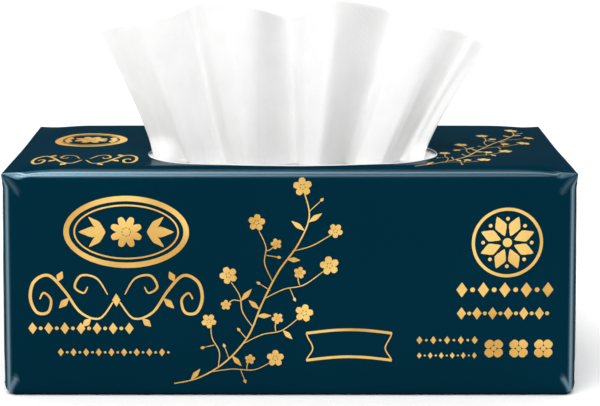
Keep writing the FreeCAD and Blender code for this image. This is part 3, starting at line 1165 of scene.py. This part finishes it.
def build_tissue():
    """The top tissue, one square sheet: drawn up in soft pleats, turned back over the stack and folded
    under itself."""
    strips = len(FOLDS) - 1
    side = settings().mouth.sheet
    rises = [1 - k / STANDING_ROWS for k in range(STANDING_ROWS + 1)]
    runs = [LYING_LENGTH * k / LYING_ROWS for k in range(1, LYING_ROWS + 1)]
    runs += [LYING_LENGTH + UNDER_STEP * k for k in range(1, UNDER_ROWS + 1)]
    lengths = [(1 - rise) * STANDING_LENGTH for rise in rises]
    lengths += [STANDING_LENGTH + run for run in runs]
    columns, rows = strips * settings().stage.columns, len(lengths) - 1
    bm = bmesh.new()
    bmesh.ops.create_grid(bm, x_segments=columns, y_segments=rows, size=0.5)
    spots = {}
    for vert in bm.verts:
        column = (vert.co.x + 0.5) * strips
        row = round((0.5 - vert.co.y) * rows)
        spots[vert] = (column / strips * side, -lengths[row])
        if row < len(rises):
            vert.co = standing_point(column, rises[row])
        else:
            vert.co = tail_point(column, runs[row - len(rises)])
    uv = bm.loops.layers.uv.new("sheet")
    for face in bm.faces:
        for loop in face.loops:
            loop[uv].uv = spots[loop.vert]
    bmesh.ops.recalc_face_normals(bm, faces=bm.faces[:])
    return bm


def give_thickness(piece, thickness):
    """Makes a sheet's surface a thin closed body, half of its thickness on each side."""
    wall = piece.modifiers.new("thickness", "SOLIDIFY")
    wall.thickness = thickness
    wall.offset = 0.0


def build_stack():
    """The stack of folded tissues: a block with rounded long edges and a soft, faintly wavy top leaf."""
    bm = bmesh.new()
    size = Vector(STACK_HIGH) - Vector(STACK_LOW)
    bmesh.ops.create_cube(bm, size=1)
    bmesh.ops.scale(bm, vec=size, verts=bm.verts[:])
    bmesh.ops.translate(bm, vec=(Vector(STACK_HIGH) + Vector(STACK_LOW)) / 2, verts=bm.verts[:])
    long_edges = [e for e in bm.edges if abs(e.verts[0].co.x - e.verts[1].co.x) > size.x / 2]
    bmesh.ops.bevel(
        bm,
        geom=long_edges,
        affect="EDGES",
        offset=0.003,
        segments=5,
        profile=0.5,
        material=-1,
    )
    for axis, count in ((0, 90), (1, 44)):
        for k in range(1, count):
            spot, way = Vector(), Vector()
            spot[axis] = lerp(STACK_LOW[axis], STACK_HIGH[axis], k / count)
            way[axis] = 1
            whole = bm.verts[:] + bm.edges[:] + bm.faces[:]
            bmesh.ops.bisect_plane(bm, geom=whole, plane_co=spot, plane_no=way)
    for vert in bm.verts:
        if vert.co.z > STACK_HIGH[2] - 0.0001:
            x, y = vert.co.x, vert.co.y
            vert.co.z -= 0.0003 * abs(noise.noise((x * 35, y * 35, 6.0)))
    bmesh.ops.recalc_face_normals(bm, faces=bm.faces[:])
    return bm


# Materials


class NodeBoard:
    """A material's nodes, added and joined by short calls."""

    def __init__(self, name):
        self.material = bpy.data.materials.new(name)
        self.material.use_nodes = True
        self.tree = self.material.node_tree
        self.shader = self.tree.nodes["Principled BSDF"]

    def add(self, kind, inputs=None, **options):
        node = self.tree.nodes.new(kind)
        for name, value in options.items():
            setattr(node, name, value)
        for name, value in (inputs or {}).items():
            if isinstance(value, bpy.types.NodeSocket):
                self.tree.links.new(value, node.inputs[name])
            else:
                node.inputs[name].default_value = value
        return node

    def coordinates(self, scale=(1, 1, 1)):
        where = self.add("ShaderNodeTexCoord").outputs["Object"]
        return self.add("ShaderNodeMapping", {"Vector": where, "Scale": scale}).outputs[0]

    def set(self, **values):
        for name, value in values.items():
            socket = self.shader.inputs[name.replace("_", " ")]
            if isinstance(value, bpy.types.NodeSocket):
                self.tree.links.new(value, socket)
            else:
                socket.default_value = value

    def ramp(self, factor, *stops):
        node = self.add("ShaderNodeValToRGB", {"Fac": factor})
        elements = node.color_ramp.elements
        elements[0].position, elements[0].color = stops[0]
        elements[1].position, elements[1].color = stops[-1]
        for position, colour in stops[1:-1]:
            elements.new(position).color = colour
        return node.outputs["Color"]

    def bump(self, height, strength, distance, below=None):
        inputs = {"Height": height, "Strength": strength, "Distance": distance}
        if below is not None:
            inputs["Normal"] = below
        return self.add("ShaderNodeBump", inputs).outputs["Normal"]


def film_material():
    """Deep teal printed film with fine crinkles: matt on its flats, with painted highlights as gloss bands
    along its edges."""
    colours = settings().colours
    board = NodeBoard("teal_film")
    drift = board.add(
        "ShaderNodeTexNoise", {"Vector": board.coordinates(), "Scale": 14.0, "Detail": 2.0}
    )
    board.set(
        Base_Color=board.ramp(
            drift.outputs["Fac"], (0.3, (*colours.film_deep, 1)), (0.7, (*colours.film, 1))
        )
    )
    # The specular level follows the painted highlight mask.
    painted_gloss = board.add("ShaderNodeAttribute", attribute_name="painted_gloss")
    board.set(Specular_IOR_Level=painted_gloss.outputs["Fac"])
    crinkle = board.add(
        "ShaderNodeTexNoise", {"Vector": board.coordinates(), "Scale": 160.0, "Detail": 3.0}
    )
    pull = board.add(
        "ShaderNodeTexNoise", {"Vector": board.coordinates((1, 1, 0.35)), "Scale": 38.0, "Detail": 1.0}
    )
    small = board.bump(crinkle.outputs["Fac"], 0.12, 0.0002)
    board.set(Normal=board.bump(pull.outputs["Fac"], 0.25, 0.0006, small))
    board.set(Roughness=0.2, IOR=2.2, Specular_Tint=(0.49, 0.79, 0.97, 1))
    return board.material


def lining_material():
    """The film's unprinted white inside, faintly milky."""
    board = NodeBoard("white_lining")
    milky = board.add(
        "ShaderNodeTexNoise", {"Vector": board.coordinates(), "Scale": 30.0, "Detail": 2.0}
    )
    cool, white = (0.84, 0.85, 0.86, 1), (0.9, 0.9, 0.9, 1)
    board.set(
        Base_Color=board.ramp(milky.outputs["Fac"], (0.3, cool), (0.7, white)),
        Roughness=0.5,
        Specular_IOR_Level=0.3,
    )
    crinkle = board.add("ShaderNodeTexNoise", {"Vector": board.coordinates(), "Scale": 160.0})
    board.set(Normal=board.bump(crinkle.outputs["Fac"], 0.15, 0.0002))
    return board.material


def gold_material():
    """Gold ink, drifting between a darker and a lighter gold."""
    colours = settings().colours
    board = NodeBoard("gold_ink")
    drift = board.add(
        "ShaderNodeTexNoise", {"Vector": board.coordinates(), "Scale": 45.0, "Detail": 1.0}
    )
    board.set(
        Base_Color=board.ramp(
            drift.outputs["Fac"], (0.35, (*colours.gold, 1)), (0.65, (*colours.gold_light, 1))
        ),
        Metallic=0.15,
        Roughness=0.42,
        Specular_IOR_Level=0.3,
    )
    grain = board.add("ShaderNodeTexNoise", {"Vector": board.coordinates(), "Scale": 900.0})
    board.set(Normal=board.bump(grain.outputs["Fac"], 0.1, 0.00005))
    return board.material


def tissue_material(name, along_sheet):
    """Soft white tissue with a fine diamond emboss and faint creping."""
    colours = settings().colours
    board = NodeBoard(name)
    if along_sheet:
        where = board.add("ShaderNodeUVMap", uv_map="sheet").outputs["UV"]
    else:
        where = board.coordinates()
    turned = board.add(
        "ShaderNodeMapping", {"Vector": where, "Rotation": (0, 0, math.radians(45))}
    ).outputs[0]
    lines = [
        board.add(
            "ShaderNodeTexWave",
            {"Vector": turned, "Scale": 220.0, "Distortion": 0.4, "Detail": 0.0},
            bands_direction=axis,
        ).outputs["Fac"]
        for axis in ("X", "Y")
    ]
    crossed = board.add("ShaderNodeMath", {0: lines[0], 1: lines[1]}, operation="MULTIPLY")
    fibre = board.add("ShaderNodeTexNoise", {"Vector": where, "Scale": 1400.0, "Detail": 3.0})
    soft = board.add("ShaderNodeTexNoise", {"Vector": where, "Scale": 90.0, "Detail": 2.0})
    white = (*colours.tissue, 1)
    shade = tuple(channel * 0.97 for channel in colours.tissue)
    board.set(
        Base_Color=board.ramp(soft.outputs["Fac"], (0.35, (*shade, 1)), (0.6, white)),
        Roughness=0.92,
        Specular_IOR_Level=0.12,
        Subsurface_Weight=0.1,
        Subsurface_Radius=(1.0, 0.95, 0.9),
        Subsurface_Scale=0.0015,
        Sheen_Weight=0.1,
    )
    embossed = board.bump(crossed.outputs[0], 0.25, 0.00012)
    board.set(Normal=board.bump(fibre.outputs["Fac"], 0.2, 0.00004, embossed))
    return board.material


def floor_material():
    """Plain white floor."""
    board = NodeBoard("white_floor")
    board.set(Base_Color=(*settings().stage.floor, 1), Roughness=0.75, Specular_IOR_Level=0.1)
    return board.material


# The stage


def add_light(name, place, aim, size, power, lights=True, shines=True):
    """A rectangular soft light that faces a point. It may only light the pieces, or only shine in
    them as a reflection."""
    light = bpy.data.lights.new(name, "AREA")
    light.shape = "RECTANGLE"
    light.size, light.size_y = size
    light.energy = power
    lamp = bpy.data.objects.new(name, light)
    bpy.context.scene.collection.objects.link(lamp)
    lamp.location = place
    lamp.rotation_euler = (Vector(aim) - Vector(place)).to_track_quat("-Z", "Y").to_euler()
    lamp.visible_diffuse = lights
    lamp.visible_glossy = shines


class TISSUEPACK_OT_stage(bpy.types.Operator):
    """Make the floor, the lights and the camera"""

    bl_idname = "tissuepack.stage"
    bl_label = "Stage"

    def execute(self, context):
        stage = settings().stage
        bm = bmesh.new()
        bmesh.ops.create_grid(bm, x_segments=2, y_segments=2, size=6)
        mesh = bpy.data.meshes.new("floor")
        bm.to_mesh(mesh)
        bm.free()
        mesh.materials.append(floor_material())
        floor = bpy.data.objects.new("floor", mesh)
        context.scene.collection.objects.link(floor)
        add_light("overhead", (0, 1.7, 2.5), (0, 1.7, 0), (6, 5), stage.key)
        add_light("strip", (0, 0.25, 2.45), (0, 0.25, 0), (3, 0.7), stage.strip, lights=False)
        add_light("front", (-0.5, -1.5, 2.3), (0, 0.3, 0), (2.8, 1.8), stage.fill)
        add_light("back", (0, 3, 1.3), (0, 0, 0.1), (3, 1.2), stage.back, shines=False)
        world = bpy.data.worlds.new("studio")
        world.use_nodes = True
        surround = world.node_tree.nodes["Background"]
        surround.inputs["Color"].default_value = (1, 1, 1, 1)
        surround.inputs["Strength"].default_value = stage.surround
        context.scene.world = world
        camera = bpy.data.cameras.new("camera")
        camera.sensor_width = 36
        camera.lens = stage.lens
        camera.shift_x = CAMERA_SHIFT
        camera.clip_start, camera.clip_end = 0.01, 30
        eye = bpy.data.objects.new("camera", camera)
        eye.location = CAMERA_PLACE
        eye.rotation_euler = (math.radians(90 - CAMERA_TILT), 0, 0)
        context.scene.collection.objects.link(eye)
        context.scene.camera = eye
        context.scene.view_settings.view_transform = "Standard"
        return {"FINISHED"}


class TISSUEPACK_OT_film(bpy.types.Operator):
    """Make the printed film wrapper with its mouth"""

    bl_idname = "tissuepack.film"
    bl_label = "Film wrapper"

    def execute(self, context):
        piece = add_piece("film", build_film(), film_material(), ["film_wrap"])
        piece.data.materials.append(lining_material())
        return {"FINISHED"}


class TISSUEPACK_OT_flaps(bpy.types.Operator):
    """Make the folded end flaps and the seam under the base"""

    bl_idname = "tissuepack.flaps"
    bl_label = "End flaps and seam"

    def execute(self, context):
        film = settings().film
        reach = (film.height + FLAP_OVERLAP) / 2
        fold = film.height - film.corner_low
        parts = []
        for end in (-1, 1):
            parts.append(build_flap(end, film.base_round, reach, film.wall))
            parts.append(build_flap(end, fold, film.height - reach, 2.5 * film.wall))
        flaps = join_meshes(parts)
        paint_highlight_gloss(flaps)
        material = bpy.data.materials["teal_film"]
        add_piece("end_flaps", flaps, material)
        seam = build_seam()
        paint_highlight_gloss(seam)
        add_piece("base_seam", seam, material)
        return {"FINISHED"}


class TISSUEPACK_OT_print(bpy.types.Operator):
    """Print the gold ornaments on the front and the top"""

    bl_idname = "tissuepack.print"
    bl_label = "Gold print"

    def execute(self, context):
        gold = gold_material()
        add_piece("front_print", build_front_print(), gold)
        add_piece("top_print", build_top_print(), gold)
        return {"FINISHED"}


class TISSUEPACK_OT_stack(bpy.types.Operator):
    """Make the stack of folded tissues"""

    bl_idname = "tissuepack.stack"
    bl_label = "Stack of tissues"

    def execute(self, context):
        material = tissue_material("stacked_tissue", False)
        add_piece("stack", build_stack(), material, ["tissue_stack"])
        return {"FINISHED"}


class TISSUEPACK_OT_tissue(bpy.types.Operator):
    """Make the tissue that is drawn up through the mouth"""

    bl_idname = "tissuepack.tissue"
    bl_label = "Drawn tissue"

    def execute(self, context):
        material = tissue_material("drawn_tissue", True)
        bm = build_tissue()
        piece = add_piece("drawn_tissue", bm, material, ["pulled_tissue"])
        give_thickness(piece, TISSUE_WALL)
        return {"FINISHED"}


OPERATORS = [
    TISSUEPACK_OT_stage,
    TISSUEPACK_OT_film,
    TISSUEPACK_OT_flaps,
    TISSUEPACK_OT_print,
    TISSUEPACK_OT_stack,
    TISSUEPACK_OT_tissue,
]


class TISSUEPACK_PT_panel(bpy.types.Panel):
    """Settings and pieces of the tissue pack"""

    bl_label = "Tissue Pack"
    bl_idname = "TISSUEPACK_PT_panel"
    bl_space_type = "VIEW_3D"
    bl_region_type = "UI"
    bl_category = "Tissue Pack"

    def draw(self, context):
        pack = context.scene.tissue_pack
        for group in (pack.film, pack.mouth, pack.colours, pack.stage):
            box = self.layout.box()
            for name in group.bl_rna.properties.keys():
                if name not in {"rna_type", "name"}:
                    box.prop(group, name)
        for operator in OPERATORS:
            self.layout.operator(operator.bl_idname)


GROUPS = [FilmSizes, MouthSizes, PackColours, StageSettings, PackSettings]


def register():
    for item in [*GROUPS, *OPERATORS, TISSUEPACK_PT_panel]:
        bpy.utils.register_class(item)
    bpy.types.Scene.tissue_pack = PointerProperty(type=PackSettings)


def unregister():
    del bpy.types.Scene.tissue_pack
    for item in reversed([*GROUPS, *OPERATORS, TISSUEPACK_PT_panel]):
        bpy.utils.unregister_class(item)


def main():
    register()
    bpy.ops.tissuepack.stage()
    bpy.ops.tissuepack.film()
    bpy.ops.tissuepack.flaps()
    bpy.ops.tissuepack.print()
    bpy.ops.tissuepack.stack()
    bpy.ops.tissuepack.tissue()


if __name__ == "__main__":
    main()
